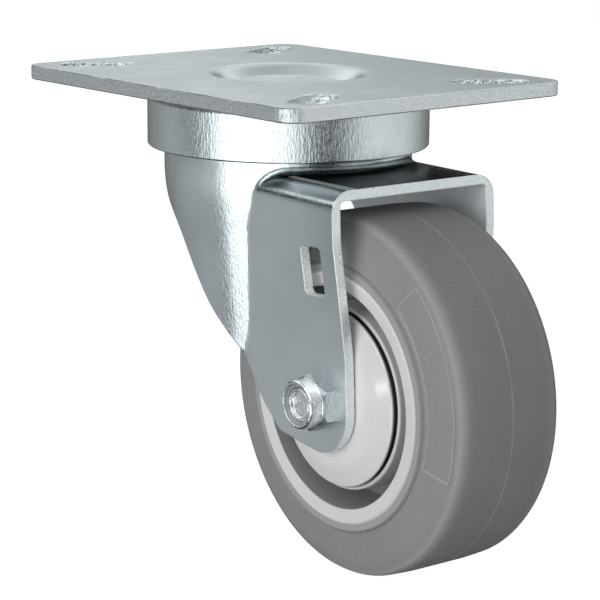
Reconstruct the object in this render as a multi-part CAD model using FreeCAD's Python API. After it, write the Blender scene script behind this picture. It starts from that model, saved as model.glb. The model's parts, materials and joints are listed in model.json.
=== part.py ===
import FreeCAD, Part
import math
import os

from FreeCAD import Vector

# Swivel castor with a bolt-on top plate, a drawn sheet fork and a rubber-tyred wheel on ball bearings.
# Millimetres. The origin is the centre of the plate's top face, on the swivel axis. +Z is up, +X is the way
# that the wheel trails and +Y runs along the axle, from the lock nut to the bolt head.
# The fork and all that it carries are modelled straight, then turned about +Z by swivel_at_rest.

# Top plate
plate_length = 124.0
plate_width = 101.0
plate_thickness = 4.1
plate_corner_radius = 6.4
slot_hole_radius = 5.16
slot_spacing_x = 98.8
slot_spacing_y = 65.0
slot_run_x = 5.8
slot_run_y = 10.4
plate_edge_rounding = 0.5
dish_rim_radius = 22.5
dish_floor_radius = 16.5
dish_depth = 5.0
dish_rim_rounding = 5.0
dish_floor_rounding = 1.2
boss_rounding = 1.5

# Race housing, the deep round skirt under the plate
housing_radius = 40.75
housing_thickness = 2.8
housing_corner_radius = 3.2
housing_inner_corner = 0.4
housing_drop = 16.26
housing_lip = 0.6

# Kingpin, which holds the fork up against the housing
kingpin_radius = 6.35
kingpin_head_radius = 15.0
kingpin_head_thickness = 2.6
kingpin_head_edge = 0.8
kingpin_point = 2.0
kingpin_chamfer = 1.0
kingpin_nut_flats = 19.0
kingpin_nut_height = 9.5
kingpin_washer_radius = 12.5
kingpin_washer_thickness = 2.0

# Swivel ball rings
upper_ball_radius = 3.97
upper_ball_pitch = 31.0
upper_ball_count = 22
lower_ball_radius = 3.175
lower_ball_pitch = 19.0
lower_ball_count = 16
groove_depth = 0.8
ball_clearance = 0.03
lower_race_thickness = 2.6
lower_race_rim = 2.2
lower_race_rim_height = 2.4
lower_race_margin = 1.0
lower_race_rounding = 1.5
lower_race_rim_rounding = 0.7

# Fork, one drawn sheet
swivel_at_rest = -3.0
sheet = 2.8
cup_radius = 35.9
cup_corner_radius = 4.6
crown_drop = 24.1
crown_bend_radius = 6.0
crown_inner_bend = 1.4
crown_bore_radius = 10.0
cup_back_drop = 29.0
neck_start_drop = 29.5
neck_end_drop = 100.0
neck_end_radius = 25.0
neck_blend_radius = 45.0
crease_radius = 2.4
leg_half_upper = 28.3
joggle_top_drop = 38.5
joggle_bottom_drop = 69.0
joggle_radius = 38.0
leg_front_lean = 3.2
leg_front_at_crown = 57.4
leg_bottom_margin = 16.0
leg_bottom_rise = 3.4
cup_trim_rise = 3.0
cup_trim_depth = 12.6
cup_trim_drop = 1.5
cup_trim_rounding = 14.0
waist_depth = 28.2
waist_above_axle = 41.5
waist_rounding = 28.0
sweep_behind_axle = 45.0
sweep_above_axle = 19.5
sweep_rounding = 50.0
foot_behind_axle = 26.5
foot_below_axle = 5.2
foot_rounding = 25.0
heel_behind_axle = 18.0
leg_nose_radius = 12.5
leg_heel_radius = 5.0
leg_slot_width = 8.8
leg_slot_height = 13.4
leg_slot_corner = 1.3
leg_slot_tilt = 3.0
leg_slot_above_axle = 36.2
leg_slot_behind_axle = 0.4

# Axle
lead = 48.7
wheel_top_gap = 5.4
leg_half_axle = 25.0
bolt_radius = 4.76
bolt_head_flats = 14.3
bolt_head_height = 6.0
bolt_chamfer = 0.45
bolt_end_sunk = 0.85
bolt_dish_radius = 3.4
bolt_dish_depth = 0.85
bolt_dish_slope = 0.4
nut_flats = 14.3
nut_hex_height = 4.1
nut_collar_radius = 6.8
nut_collar_height = 3.9
nut_collar_rounding = 0.8
insert_radius = 5.7
insert_sunk = 1.1
insert_seat = 0.6
hole_clearance = 0.15
thread_clearance = 0.02
sleeve_radius = 6.35

# Wheel bearings
bearing_half_gap = 4.5
bearing_width = 11.0
bearing_inner_radius = 10.2
bearing_outer_radius = 17.5
bearing_race_radius = 14.0
bearing_ball_radius = 3.175
bearing_ball_count = 9
bearing_chamfer = 0.5
spacer_radius = 8.6
slip = 0.02

# Wheel
wheel_radius = 50.8
tread_thickness = 11.3
tread_shoulder_drop = 0.5
tread_half_shoulder = 17.1
tread_shoulder_radius = 3.2
tread_shoulder_depth = 3.2
tread_shoulder_bevel = 1.2
tread_side_width = 13.3
tread_lip_half_width = 19.9
tread_lip_rounding = 0.3
tread_side_bow = 12.0
tread_crown_bow = 30.0
tread_groove = 0.65
core_ring_gap = 2.45
core_ring_wall = 4.15
core_ring_half_width = 20.6
core_seat_half_width = 15.0
core_neck_half_width = 18.0
core_neck_step = 0.4
core_ring_lip = 0.5
core_rounding = 0.5
core_web_rounding = 1.2
core_rim_draft = 0.9
core_web_half = 4.0
hub_tube_radius = 25.9
hub_tube_wall = 1.2
hub_tube_half_width = 17.9
hub_tube_rounding = 0.55
guard_gap = 0.5
guard_wall = 1.6
guard_overhang = 0.65
guard_rim_half_width = 19.05
guard_edge_half_width = 19.6
guard_collar_radius = 9.2
guard_leg_gap = 0.3
guard_skirt_lift = 1.2
guard_shoulder = 6.6
guard_dome_fall = 0.35
guard_dome_bow = 22.0
guard_edge_rounding = 0.9
guard_rounding = 2.2

# Hexagons: how far the turned-off corners reach, and how far the turning tool stands clear
corner_share = 1.1
corner_clear = 0.1

# Far beyond every outline, for cutting tools, and how deep one solid starts inside another
BIG = 200.0
OVERLAP = 1.0

# The axle hangs so that the wheel clears the crown, and the wheel's rings step in from its radius.
axle_drop = crown_drop + sheet + wheel_top_gap + wheel_radius
core_seat_radius = wheel_radius - tread_thickness
tread_lip_radius = wheel_radius - tread_side_width
core_ring_radius = tread_lip_radius - core_ring_gap
core_rim_inner_radius = core_ring_radius - core_ring_wall
AXLE = Vector(lead, 0, -axle_drop)
Z_AXIS = Vector(0, 0, 1)
ORIGIN = Vector(0, 0, 0)


def corner(before, at, after, radius):
    """Start, middle and end of the arc that rounds the corner at a point."""
    to_before = (before - at)
    to_after = (after - at)
    room = min(to_before.Length, to_after.Length) * 0.98
    to_before.normalize()
    to_after.normalize()
    half = to_before.getAngle(to_after) / 2
    run = min(radius / math.tan(half), room)
    radius = run * math.tan(half)
    start = at + to_before * run
    end = at + to_after * run
    inward = to_before + to_after
    inward.normalize()
    middle = at + inward * (radius / math.sin(half) - radius)
    return start, middle, end


def outline(points, place=lambda a, b: Vector(a, 0, b)):
    """A closed wire through points (a, b) or (a, b, corner radius)."""
    vectors = [place(p[0], p[1]) for p in points]
    radii = [p[2] if len(p) > 2 else 0 for p in points]
    count = len(points)
    edges = []
    first = None
    last = None
    for i in range(count):
        at = vectors[i]
        if radii[i] > 0:
            start, middle, end = corner(vectors[i - 1], at, vectors[(i + 1) % count], radii[i])
        else:
            start, middle, end = at, None, at
        if last is not None and last.distanceToPoint(start) > 1e-6:
            edges.append(Part.LineSegment(last, start).toShape())
        if middle is not None:
            edges.append(Part.Arc(start, middle, end).toShape())
        if first is None:
            first = start
        last = end
    if last.distanceToPoint(first) > 1e-6:
        edges.append(Part.LineSegment(last, first).toShape())
    return Part.Wire(edges)


def turned(points):
    """The solid turned about +Z from a profile of (radius, height) points."""
    return Part.Face(outline(points)).revolve(ORIGIN, Z_AXIS, 360)


def prism(points, place, along):
    """A profile extruded along a vector."""
    return Part.Face(outline(points, place)).extrude(along)


def drill(radius, low, high, x=0.0, y=0.0):
    """A round cutter along Z."""
    return Part.makeCylinder(radius, high - low, Vector(x, y, low))


def hexagon(flats, low, high, flat_angle=0.0):
    """A hexagonal prism along Z, with one flat facing flat_angle."""
    reach = flats / 2 / math.cos(math.radians(30))
    corners = []
    for i in range(6):
        angle = math.radians(flat_angle + 30 + 60 * i)
        corners.append(Vector(reach * math.cos(angle), reach * math.sin(angle), low))
    wire = Part.makePolygon(corners + corners[:1])
    return Part.Face(wire).extrude(Vector(0, 0, high - low))


def crowned(prism_shape, flats, low, high, top=True):
    """A hexagonal prism with its corners turned off at one end."""
    reach = flats / 2 / math.cos(math.radians(30))
    bevel = (reach - flats / 2) * corner_share
    outer = reach + corner_clear
    inner = flats / 2 - corner_clear
    if top:
        envelope = turned([(0, low), (outer, low), (outer, high - bevel), (inner, high), (0, high)])
    else:
        envelope = turned([(0, low), (inner, low), (outer, low + bevel), (outer, high), (0, high)])
    return prism_shape.common(envelope)


def ball_groove(pitch, ball_radius, height):
    """The ring that a circle of balls sweeps, with its running clearance."""
    ring = Part.makeTorus(pitch, ball_radius + ball_clearance)
    ring.translate(Vector(0, 0, height))
    return ring


def ball_circle(count, pitch, ball_radius, height):
    """Balls evenly spaced on a circle round Z."""
    balls = []
    for i in range(count):
        angle = 2 * math.pi * i / count
        centre = Vector(pitch * math.cos(angle), pitch * math.sin(angle), height)
        balls.append(Part.makeSphere(ball_radius, centre))
    return Part.Compound(balls)


def on_axle(shape):
    """Turns a shape built round +Z so that it lies along the axle, +Z becoming +Y."""
    placed = shape.copy()
    placed.rotate(ORIGIN, Vector(1, 0, 0), -90)
    placed.translate(AXLE)
    return placed


def at_rest(shape):
    """Turns a piece of the fork's group to the angle that the fork stands at."""
    placed = shape.copy()
    placed.rotate(ORIGIN, Z_AXIS, swivel_at_rest)
    return placed


def mirrored_along_axle(shape):
    """The same piece for the wheel's other side, before it goes on the axle."""
    return shape.mirror(ORIGIN, Z_AXIS)


# Heights of the swivel, from the plate down
plate_under = -plate_thickness
dish_floor = -dish_depth
housing_ceiling = plate_under - housing_thickness
housing_bottom = plate_under - housing_drop
upper_ball_z = housing_ceiling + groove_depth - upper_ball_radius - ball_clearance
cup_top = upper_ball_z + groove_depth - upper_ball_radius - ball_clearance
cup_ceiling = cup_top - sheet
lower_ball_z = cup_ceiling + groove_depth - lower_ball_radius - ball_clearance
lower_race_top = lower_ball_z + groove_depth - lower_ball_radius - ball_clearance
lower_race_under = lower_race_top - lower_race_thickness
kingpin_washer_under = lower_race_under - kingpin_washer_thickness
kingpin_nut_under = kingpin_washer_under - kingpin_nut_height
kingpin_bore_radius = kingpin_radius + thread_clearance


def dish_slope():
    """Outward run of the dish wall for each millimetre of depth."""
    return (dish_rim_radius - dish_floor_radius) / dish_depth


def make_top_plate():
    """Stamped plate: four angled bolt slots and a pressed dish that takes the kingpin's head."""
    half_x = plate_length / 2
    half_y = plate_width / 2
    round_corner = plate_corner_radius
    plate = prism([(-half_x, -half_y, round_corner), (half_x, -half_y, round_corner),
                   (half_x, half_y, round_corner), (-half_x, half_y, round_corner)],
                  lambda a, b: Vector(a, b, plate_under), Vector(0, 0, plate_thickness))
    # The pressed wall keeps the sheet's thickness, measured square to its slope.
    slope = dish_slope()
    wall_run = plate_thickness * math.hypot(1, slope)
    boss_under = dish_floor - plate_thickness
    boss_rim = dish_rim_radius + wall_run - slope * plate_thickness
    boss_floor = dish_rim_radius + wall_run + slope * boss_under
    boss = turned([(0, boss_under), (boss_floor, boss_under, boss_rounding), (boss_rim, plate_under),
                   (boss_rim, plate_under / 2), (0, plate_under / 2)])
    dish = turned([(0, dish_floor), (dish_floor_radius, dish_floor, dish_floor_rounding),
                   (dish_rim_radius, 0), (dish_rim_radius, OVERLAP), (0, OVERLAP)])
    plate = plate.fuse(boss).cut(dish)
    plate = plate.cut(drill(kingpin_bore_radius, -BIG, BIG))
    for side_x in (-1, 1):
        for side_y in (-1, 1):
            plate = plate.cut(bolt_slot(side_x, side_y))
    plate = plate.removeSplitter()
    rim = [edge for edge in plate.Edges if is_dish_rim(edge)]
    plate = plate.makeFillet(dish_rim_rounding, rim)
    sheared = [edge for edge in plate.Edges if is_plate_edge(edge)]
    return plate.makeFillet(plate_edge_rounding, sheared)


def is_dish_rim(edge):
    """Whether an edge is the circle where the dish meets the plate's top."""
    at_top = edge.BoundBox.ZMin > -0.01
    return at_top and isinstance(edge.Curve, Part.Circle) and abs(edge.Curve.Radius - dish_rim_radius) < 0.01


def is_plate_edge(edge):
    """Whether an edge lies round the plate's outline or a bolt slot, on its top or its underside."""
    box = edge.BoundBox
    middle = edge.valueAt((edge.FirstParameter + edge.LastParameter) / 2)
    level = box.ZLength < 0.01
    at_face = abs(middle.z) < 0.01 or abs(middle.z - plate_under) < 0.01
    clear_of_dish = math.hypot(middle.x, middle.y) > dish_rim_radius + plate_thickness + dish_rim_rounding
    return level and at_face and clear_of_dish


def bolt_slot(side_x, side_y):
    """Cutter for one bolt slot, which runs outwards from the plate's middle."""
    centre = Vector(side_x * slot_spacing_x / 2, side_y * slot_spacing_y / 2, 0)
    half_run = Vector(side_x * slot_run_x / 2, side_y * slot_run_y / 2, 0)
    across = Vector(-half_run.y, half_run.x, 0)
    across.normalize()
    across = across * slot_hole_radius
    low = Vector(0, 0, -plate_thickness - OVERLAP)
    ends = [centre - half_run + low, centre + half_run + low]
    wire = Part.makePolygon([ends[0] - across, ends[1] - across, ends[1] + across,
                             ends[0] + across, ends[0] - across])
    deep = plate_thickness + 2 * OVERLAP
    cutter = Part.Face(wire).extrude(Vector(0, 0, deep))
    for end in ends:
        cutter = cutter.fuse(Part.makeCylinder(slot_hole_radius, deep, end))
    return cutter


def make_race_housing():
    """Deep drawn ring: a ceiling against the plate with the upper ball groove, and the skirt."""
    slope = dish_slope()
    bore = dish_rim_radius + plate_thickness * math.hypot(1, slope) - slope * plate_thickness + hole_clearance
    inner = housing_radius - housing_thickness
    inner_corner = max(housing_corner_radius - housing_thickness, housing_inner_corner)
    housing = turned([(bore, plate_under), (housing_radius, plate_under, housing_corner_radius),
                      (housing_radius, housing_bottom, housing_lip), (inner, housing_bottom),
                      (inner, housing_ceiling, inner_corner), (bore, housing_ceiling)])
    return housing.cut(ball_groove(upper_ball_pitch, upper_ball_radius, upper_ball_z))


def make_kingpin():
    """Riveted pin: a flat head down in the plate's dish and a shank through the swivel."""
    head_top = dish_floor + kingpin_head_thickness
    end = kingpin_nut_under - kingpin_point
    return turned([(0, end), (kingpin_radius - kingpin_chamfer, end), (kingpin_radius, end + kingpin_chamfer),
                   (kingpin_radius, dish_floor), (kingpin_head_radius, dish_floor),
                   (kingpin_head_radius, head_top, kingpin_head_edge), (0, head_top)])


def make_lower_race():
    """Dished washer that carries the lower balls, with a turned-up rim."""
    inner = lower_ball_pitch + lower_ball_radius + lower_race_margin
    outer = inner + lower_race_rim
    rim_top = lower_race_top + lower_race_rim_height
    race = turned([(kingpin_bore_radius, lower_race_under), (outer, lower_race_under, lower_race_rounding),
                   (outer, rim_top, lower_race_rim_rounding), (inner, rim_top, lower_race_rim_rounding),
                   (inner, lower_race_top), (kingpin_bore_radius, lower_race_top)])
    return race.cut(ball_groove(lower_ball_pitch, lower_ball_radius, lower_ball_z))


def make_kingpin_washer():
    return turned([(kingpin_bore_radius, kingpin_washer_under), (kingpin_washer_radius, kingpin_washer_under),
                   (kingpin_washer_radius, lower_race_under), (kingpin_bore_radius, lower_race_under)])


def make_kingpin_nut():
    nut = hexagon(kingpin_nut_flats, kingpin_nut_under, kingpin_washer_under)
    nut = crowned(nut, kingpin_nut_flats, kingpin_nut_under, kingpin_washer_under, top=False)
    return nut.cut(drill(kingpin_bore_radius, -BIG, BIG))


def fork_body(inset):
    """The fork's outer skin as a full body, or the same body moved inwards by the sheet's thickness.

    A turned cup that narrows into the necks is joined to a channel whose walls step inwards, and the
    crease where they meet is rounded.
    """
    cup = turned([(0, cup_top - inset), (cup_radius - inset, cup_top - inset, cup_corner_radius - inset),
                  (cup_radius - inset, -neck_start_drop, neck_blend_radius),
                  (neck_end_radius - inset, -neck_end_drop), (0, -neck_end_drop)])
    upper = leg_half_upper - inset
    lower = leg_half_axle - inset
    crown = -crown_drop - inset
    bend = crown_inner_bend if inset else crown_bend_radius
    channel = prism([(-lower, -neck_end_drop - 10), (-lower, -joggle_bottom_drop, joggle_radius),
                     (-upper, -joggle_top_drop, joggle_radius), (-upper, crown, bend),
                     (upper, crown, bend), (upper, -joggle_top_drop, joggle_radius),
                     (lower, -joggle_bottom_drop, joggle_radius), (lower, -neck_end_drop - 10)],
                    lambda a, b: Vector(0, a, b), Vector(BIG, 0, 0))
    body = cup.fuse(channel)
    creases = [edge for edge in body.Edges if is_crease(edge, inset)]
    return body.makeFillet(crease_radius + inset, creases)


def is_crease(edge, inset):
    """Whether an edge lies where the turned cup meets the channel."""
    middle = edge.valueAt((edge.FirstParameter + edge.LastParameter) / 2)
    box = edge.BoundBox
    if box.ZMax > -crown_drop - inset + 0.01 or box.ZMin < -neck_end_drop - 5:
        return False
    from_axis = math.hypot(middle.x, middle.y)
    on_cup = abs(from_axis - cup_wall_radius(middle.z, inset)) < 0.5
    return on_cup and middle.x > 1 and box.DiagonalLength > 1


def cup_wall_radius(height, inset):
    """Radius of the cup or neck at a height, leaving out the blend between them."""
    if height > -neck_start_drop:
        return cup_radius - inset
    part_way = (-neck_start_drop - height) / (neck_end_drop - neck_start_drop)
    return cup_radius - inset + part_way * (neck_end_radius - cup_radius)


def leg_outline():
    """Side view of the fork: cup back, swept rear edge, heel, nose and leaning front edge."""
    lean = math.tan(math.radians(leg_front_lean))
    bottom = -axle_drop - leg_bottom_margin
    front_at_bottom = leg_front_at_crown + lean * (-crown_drop - bottom)
    back = -cup_radius
    return [(-BIG, 0), (-BIG, -cup_back_drop + cup_trim_rise),
            (back + cup_trim_depth, -cup_back_drop - cup_trim_drop, cup_trim_rounding),
            (back + waist_depth, -axle_drop + waist_above_axle, waist_rounding),
            (lead - sweep_behind_axle, -axle_drop + sweep_above_axle, sweep_rounding),
            (lead - foot_behind_axle, -axle_drop - foot_below_axle, foot_rounding),
            (lead - heel_behind_axle, bottom + leg_bottom_rise, leg_heel_radius),
            (front_at_bottom, bottom, leg_nose_radius),
            (leg_front_at_crown, -crown_drop), (leg_front_at_crown, 0)]


def leg_slot():
    """Cutter for the rectangular slots in both legs."""
    half_wide = leg_slot_width / 2
    half_high = leg_slot_height / 2
    corners = [(-half_wide, -half_high, leg_slot_corner), (half_wide, -half_high, leg_slot_corner),
               (half_wide, half_high, leg_slot_corner), (-half_wide, half_high, leg_slot_corner)]
    cutter = prism(corners, lambda a, b: Vector(a, -BIG / 2, b), Vector(0, BIG, 0))
    cutter.rotate(ORIGIN, Vector(0, 1, 0), -leg_slot_tilt)
    cutter.translate(Vector(lead - leg_slot_behind_axle, 0, -axle_drop + leg_slot_above_axle))
    return cutter


def make_fork():
    """One drawn sheet: cup, crown, necks and two legs with their slots and axle holes."""
    fork = fork_body(0).cut(fork_body(sheet))
    side_view = prism(leg_outline(), lambda a, b: Vector(a, -BIG / 2, b), Vector(0, BIG, 0))
    fork = fork.common(side_view)
    fork = fork.cut(drill(crown_bore_radius, -BIG, BIG))
    fork = fork.cut(ball_groove(upper_ball_pitch, upper_ball_radius, upper_ball_z))
    fork = fork.cut(ball_groove(lower_ball_pitch, lower_ball_radius, lower_ball_z))
    fork = fork.cut(leg_slot())
    fork = fork.cut(on_axle(drill(bolt_radius + hole_clearance, -BIG / 2, BIG / 2)))
    return fork


def make_axle_bolt():
    """Hexagon bolt with its head against the far leg and its dished end in the lock nut."""
    end = -leg_half_axle - nut_hex_height - nut_collar_height + bolt_end_sunk
    dish = end + bolt_dish_depth
    head = hexagon(bolt_head_flats, leg_half_axle, leg_half_axle + bolt_head_height)
    head = crowned(head, bolt_head_flats, leg_half_axle, leg_half_axle + bolt_head_height)
    shank = turned([(0, dish), (bolt_dish_radius, dish), (bolt_dish_radius + bolt_dish_slope, end),
                    (bolt_radius - bolt_chamfer, end), (bolt_radius, end + bolt_chamfer),
                    (bolt_radius, leg_half_axle + OVERLAP), (0, leg_half_axle + OVERLAP)])
    return head.fuse(shank).removeSplitter()


def make_lock_nut():
    """Hexagon nut with a rolled collar that holds the nylon ring."""
    base = -leg_half_axle
    hex_end = base - nut_hex_height
    collar_end = hex_end - nut_collar_height
    nut = crowned(hexagon(nut_flats, hex_end, base), nut_flats, hex_end, base, top=False)
    collar = turned([(0, hex_end + OVERLAP), (0, collar_end),
                     (nut_collar_radius, collar_end, nut_collar_rounding),
                     (nut_collar_radius, hex_end + OVERLAP)])
    nut = nut.fuse(collar)
    nut = nut.cut(drill(bolt_radius + thread_clearance, collar_end - OVERLAP, base + OVERLAP))
    return nut.cut(drill(insert_radius, collar_end - OVERLAP, hex_end + insert_seat)).removeSplitter()


def make_nut_insert():
    """Nylon ring in the lock nut's collar, a little below the collar's edge."""
    hex_end = -leg_half_axle - nut_hex_height
    low = hex_end - nut_collar_height + insert_sunk
    high = hex_end + insert_seat
    bore = bolt_radius + thread_clearance
    return turned([(bore, low), (insert_radius, low), (insert_radius, high), (bore, high)])


def make_axle_sleeve():
    """Tube clamped between the legs, on which the bearings sit."""
    half = leg_half_axle - sheet
    bore = bolt_radius + hole_clearance
    return turned([(bore, -half), (sleeve_radius, -half), (sleeve_radius, half), (bore, half)])


def make_bearing_spacer():
    """Short tube that keeps the two inner rings apart."""
    bore = sleeve_radius + slip
    return turned([(bore, -bearing_half_gap), (spacer_radius, -bearing_half_gap),
                   (spacer_radius, bearing_half_gap), (bore, bearing_half_gap)])


bearing_pitch = (bearing_inner_radius + bearing_race_radius) / 2
bearing_middle = bearing_half_gap + bearing_width / 2
bearing_face = bearing_half_gap + bearing_width


def bearing_ring(inner, outer):
    """One ring of a wheel bearing on the +Z side, with its ball groove."""
    ring = turned([(inner, bearing_half_gap, bearing_chamfer), (outer, bearing_half_gap, bearing_chamfer),
                   (outer, bearing_face, bearing_chamfer), (inner, bearing_face, bearing_chamfer)])
    return ring.cut(ball_groove(bearing_pitch, bearing_ball_radius, bearing_middle))


def make_inner_ring():
    return bearing_ring(sleeve_radius + slip, bearing_inner_radius)


def make_outer_ring():
    return bearing_ring(bearing_race_radius, bearing_outer_radius)


def make_bearing_balls():
    return ball_circle(bearing_ball_count, bearing_pitch, bearing_ball_radius, bearing_middle)


def make_thread_guard():
    """Domed cover that keeps thread out of the bearing, with a rim that stands over the hub's tube."""
    top = leg_half_axle - sheet - guard_leg_gap
    skirt_radius = hub_tube_radius - hub_tube_wall - guard_gap
    rim_radius = skirt_radius + guard_overhang
    bore = sleeve_radius + slip
    inner_edge = skirt_radius - guard_wall
    low = bearing_face + guard_skirt_lift
    shoulder = rim_radius - guard_shoulder
    return turned([(bore, bearing_face), (guard_collar_radius, bearing_face),
                   (guard_collar_radius, top - 2 * guard_wall, guard_wall),
                   (shoulder - guard_wall, top - guard_dome_fall - guard_wall, guard_dome_bow - guard_wall),
                   (inner_edge, guard_edge_half_width - guard_wall, guard_wall), (inner_edge, low),
                   (skirt_radius, low), (skirt_radius, guard_rim_half_width),
                   (rim_radius, guard_rim_half_width),
                   (rim_radius, guard_edge_half_width, guard_edge_rounding),
                   (shoulder, top - guard_dome_fall, guard_dome_bow),
                   (guard_collar_radius, top, guard_rounding), (bore, top)])


def make_wheel_core():
    """Moulded core: hub with bearing seats and a thin guard tube, web, and a flanged rim."""
    half = [(bearing_race_radius + 1, bearing_half_gap), (bearing_outer_radius, bearing_half_gap),
            (bearing_outer_radius, bearing_face),
            (hub_tube_radius - hub_tube_wall, bearing_face),
            (hub_tube_radius - hub_tube_wall, hub_tube_half_width, hub_tube_rounding),
            (hub_tube_radius, hub_tube_half_width, hub_tube_rounding),
            (hub_tube_radius + core_rim_draft / 2, core_web_half, core_web_rounding),
            (core_rim_inner_radius - core_rim_draft, core_web_half, core_web_rounding),
            (core_rim_inner_radius, core_ring_half_width - core_ring_lip, core_rounding),
            (core_ring_radius - core_ring_lip, core_ring_half_width, core_rounding),
            (core_ring_radius, core_ring_half_width - core_ring_lip),
            (core_ring_radius + core_neck_step, core_neck_half_width),
            (core_seat_radius, core_seat_half_width)]
    return turned(both_sides(half))


def both_sides(half):
    """A profile made symmetric about the wheel's middle from the points of its +Z half."""
    other = [(point[0], -point[1]) + tuple(point[2:]) for point in reversed(half)]
    return half + other


def make_tread():
    """Solid rubber tyre moulded round the core's rim, with a lip and a fine groove at its inner edge."""
    lip = tread_lip_half_width
    groove = tread_groove
    side_slope = (lip - tread_half_shoulder) / (wheel_radius - tread_lip_radius)
    shoulder = wheel_radius - tread_shoulder_depth
    half = [(core_seat_radius, core_seat_half_width),
            (core_ring_radius + core_neck_step, core_neck_half_width),
            (core_ring_radius, core_ring_half_width - core_ring_lip),
            (tread_lip_radius - groove, lip + groove / 2, tread_lip_rounding),
            (tread_lip_radius, lip - groove),
            (tread_lip_radius + groove, lip - side_slope * groove, tread_lip_rounding),
            (shoulder, tread_half_shoulder + side_slope * tread_shoulder_depth, tread_side_bow),
            (wheel_radius - tread_shoulder_drop, tread_half_shoulder - tread_shoulder_bevel,
             tread_shoulder_radius),
            (wheel_radius - tread_shoulder_drop / 5, tread_half_shoulder / 2, tread_crown_bow)]
    return turned(both_sides(half))


def save(name, shape):
    """Writes one node's STEP file and prints its size."""
    box = shape.BoundBox
    print("%-22s solids %2d  valid %s  volume %9.1f  z %7.2f to %7.2f"
          % (name, len(shape.Solids), shape.isValid(), shape.Volume, box.ZMin, box.ZMax))
    shape.exportStep("parts/%s.step" % name)


os.makedirs("parts", exist_ok=True)

# Fixed under the plate
save("top_plate", make_top_plate())
save("race_housing", make_race_housing())
save("kingpin", make_kingpin())
save("lower_race", make_lower_race())
save("kingpin_washer", make_kingpin_washer())
save("kingpin_nut", make_kingpin_nut())

# Ball rings of the swivel
save("upper_balls", ball_circle(upper_ball_count, upper_ball_pitch, upper_ball_radius, upper_ball_z))
save("lower_balls", ball_circle(lower_ball_count, lower_ball_pitch, lower_ball_radius, lower_ball_z))

# Swivelling fork and what is clamped in it
save("fork", at_rest(make_fork()))
save("axle_bolt", at_rest(on_axle(make_axle_bolt())))
save("lock_nut", at_rest(on_axle(make_lock_nut())))
save("nut_insert", at_rest(on_axle(make_nut_insert())))
save("axle_sleeve", at_rest(on_axle(make_axle_sleeve())))
save("bearing_spacer", at_rest(on_axle(make_bearing_spacer())))

# Both sides of the wheel: the near side is -Y
for side, place in (("far", lambda shape: shape), ("near", mirrored_along_axle)):
    save("inner_ring_" + side, at_rest(on_axle(place(make_inner_ring()))))
    save("outer_ring_" + side, at_rest(on_axle(place(make_outer_ring()))))
    save("bearing_balls_" + side, at_rest(on_axle(place(make_bearing_balls()))))
    save("thread_guard_" + side, at_rest(on_axle(place(make_thread_guard()))))

# Wheel
save("wheel_core", at_rest(on_axle(make_wheel_core())))
save("tread", at_rest(on_axle(make_tread())))
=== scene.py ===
# %% [markdown]
# Swivel castor: the looks, built round the CAD frame
# The castor has a slotted top plate, a deep race housing, a drawn sheet fork and a rubber-tyred wheel.
# All of these come from the packed model, at real size, in metres, with +Z up out of the plate and +X the
# way that the wheel trails. This file gives every surface its finish, adds the fine shapes that the solids
# leave out, and sets up a plain studio that shows polished metal well.

# %% Load the frame
import json
import math

import bpy
import numpy as np
from mathutils import Matrix, Vector


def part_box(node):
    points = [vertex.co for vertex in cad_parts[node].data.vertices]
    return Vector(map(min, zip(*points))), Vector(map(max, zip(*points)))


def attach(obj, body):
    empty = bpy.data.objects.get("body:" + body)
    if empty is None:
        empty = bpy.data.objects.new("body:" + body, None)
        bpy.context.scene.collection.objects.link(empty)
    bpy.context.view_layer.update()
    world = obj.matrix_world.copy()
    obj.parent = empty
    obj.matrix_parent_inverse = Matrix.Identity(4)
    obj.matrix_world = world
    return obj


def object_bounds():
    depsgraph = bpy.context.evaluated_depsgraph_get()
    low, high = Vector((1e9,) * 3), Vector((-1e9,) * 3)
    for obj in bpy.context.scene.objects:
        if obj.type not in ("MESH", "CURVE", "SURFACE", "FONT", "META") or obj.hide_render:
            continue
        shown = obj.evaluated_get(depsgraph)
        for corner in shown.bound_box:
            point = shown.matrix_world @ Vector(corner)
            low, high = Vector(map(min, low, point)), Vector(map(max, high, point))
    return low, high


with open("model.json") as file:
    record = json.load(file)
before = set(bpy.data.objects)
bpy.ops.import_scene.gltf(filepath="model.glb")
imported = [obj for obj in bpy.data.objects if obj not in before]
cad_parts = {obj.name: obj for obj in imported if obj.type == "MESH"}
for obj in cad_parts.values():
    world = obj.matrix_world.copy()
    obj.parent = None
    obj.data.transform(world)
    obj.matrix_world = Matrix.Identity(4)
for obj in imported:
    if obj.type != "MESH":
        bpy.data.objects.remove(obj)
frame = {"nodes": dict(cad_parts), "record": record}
cad_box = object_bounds()
nodes = frame["nodes"]
print("nodes", len(nodes), "box", [tuple(round(v, 4) for v in corner) for corner in cad_box])

# %% [markdown]
# The camera
# A product picture has a real camera in it: a place, a lens and a direction. These came from matching the
# plate's corners, the round skirt and the wheel with the picture. The long lens keeps perspective mild.
# The camera's matrix is written from three directions: right, up and back towards the eye.

# %% Camera
CAMERA_YAW = math.radians(50.173)
CAMERA_PITCH = math.radians(12.673)
CAMERA_ROLL = math.radians(0.445)
CAMERA_PLACE = Vector((0.48639, -0.40079, 0.0745))
SENSOR_MM = 36.0
LENS_MM = 131.57
NEAREST = 0.01
FARTHEST = 20.0

right = Vector((math.cos(CAMERA_YAW), math.sin(CAMERA_YAW), 0.0))
back = Vector((math.sin(CAMERA_YAW) * math.cos(CAMERA_PITCH),
               -math.cos(CAMERA_YAW) * math.cos(CAMERA_PITCH), math.sin(CAMERA_PITCH)))
up = back.cross(right)
rolled_right = right * math.cos(CAMERA_ROLL) + up * math.sin(CAMERA_ROLL)
rolled_up = up * math.cos(CAMERA_ROLL) - right * math.sin(CAMERA_ROLL)

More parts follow.
